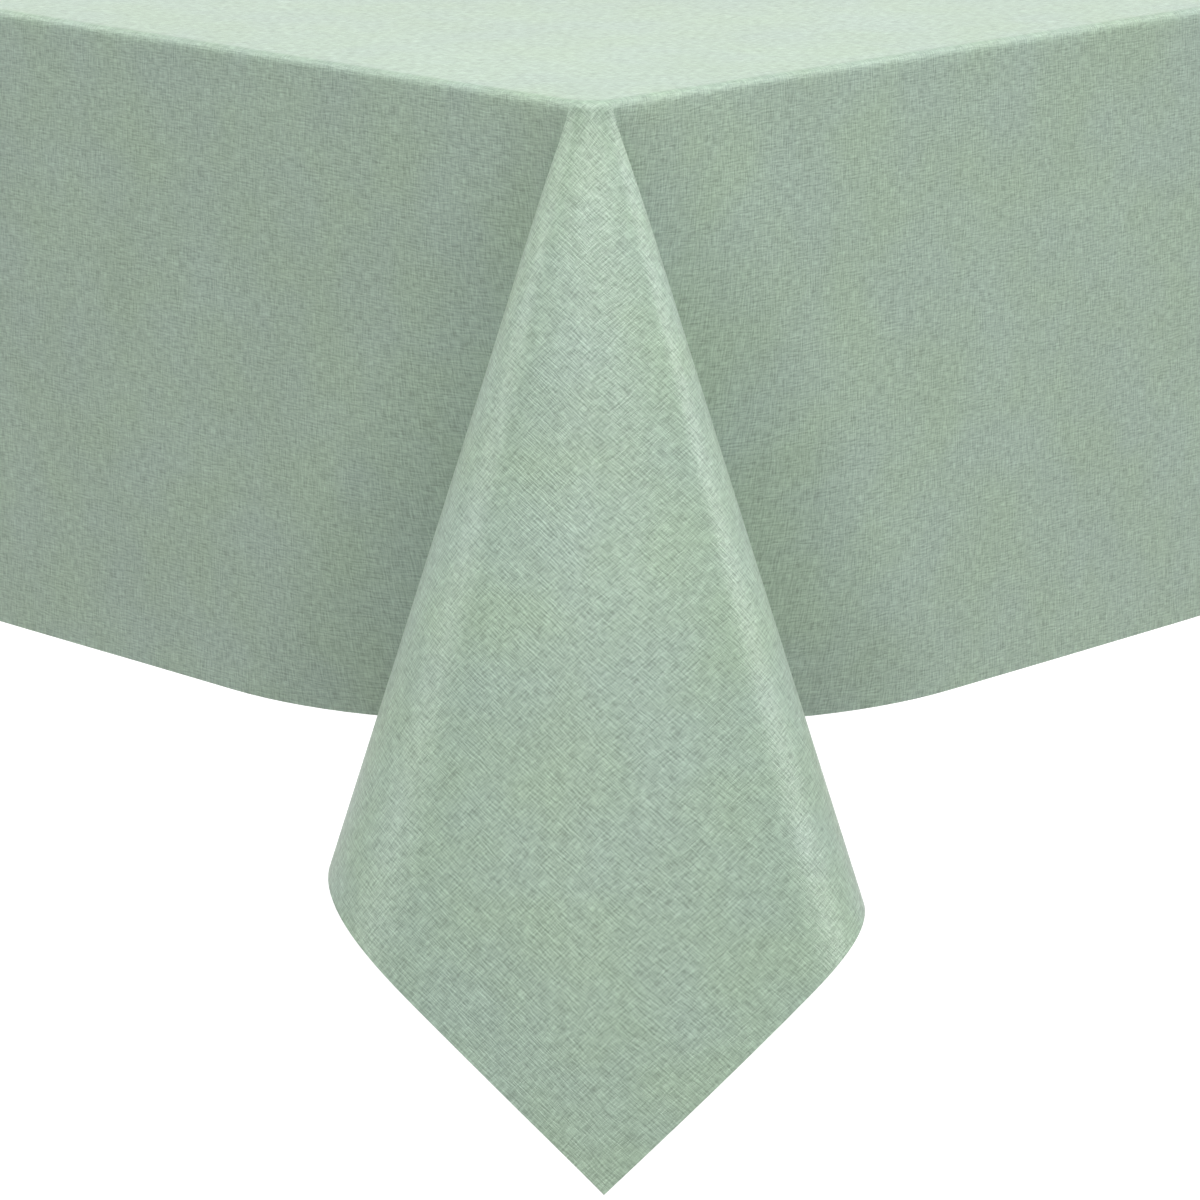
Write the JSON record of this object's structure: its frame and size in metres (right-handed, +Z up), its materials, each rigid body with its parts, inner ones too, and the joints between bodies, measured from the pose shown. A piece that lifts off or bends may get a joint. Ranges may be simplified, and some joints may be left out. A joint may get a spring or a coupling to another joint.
{
  "type": "tablecloth on a table",
  "caption": "Rectangular vinyl tablecloth draped over a trestle dining table, with a straight drop on each side and a pointed fold at each corner.",
  "frame": {"origin": "on the floor under the middle of the table", "axes": "+X along the table's length, +Y across it, +Z up"},
  "size_m": [1.8592, 1.2492, 0.751],
  "materials": {
    "vinyl": "printed vinyl with a fine linen weave and a satin sheen",
    "flannel": "brushed flannel backing",
    "oak_top": "oiled oak, grain along X",
    "oak_end_board": "oiled oak, grain along Y",
    "oak_beam": "oiled oak, grain along Y",
    "oak_post": "oiled oak, grain along Z",
    "oak_rail": "oiled oak, grain along X",
    "oak_peg": "darker oak peg",
    "zinc_steel": "zinc-plated steel",
    "glide_nylon": "moulded nylon"
  },
  "bodies": {
    "table": {"top_panel": "oak_top", "end_board_left": "oak_end_board", "end_board_right": "oak_end_board", "end_board_pegs": "oak_peg", "head_beam_left": "oak_beam", "head_beam_right": "oak_beam", "post_left": "oak_post", "post_right": "oak_post", "foot_beam_left": "oak_beam", "foot_beam_right": "oak_beam", "tenon_pegs": "oak_peg", "top_rail": "oak_rail", "cleat_front": "oak_rail", "cleat_back": "oak_rail", "cleat_screws": "zinc_steel", "rail_bolts": "zinc_steel", "rail_bolt_washers": "zinc_steel", "barrel_nuts": "zinc_steel", "top_screws": "zinc_steel", "top_screw_washers": "zinc_steel", "glides": "glide_nylon", "glide_pins": "zinc_steel"},
    "tablecloth": {"cloth_face": "vinyl", "cloth_backing": "flannel"}
  },
  "joints": [
    {"name": "cloth_lift", "type": "slide", "parent": "table", "child": "tablecloth", "axis": [0, 0, 1], "range_m": [0, 0.45]}
  ]
}
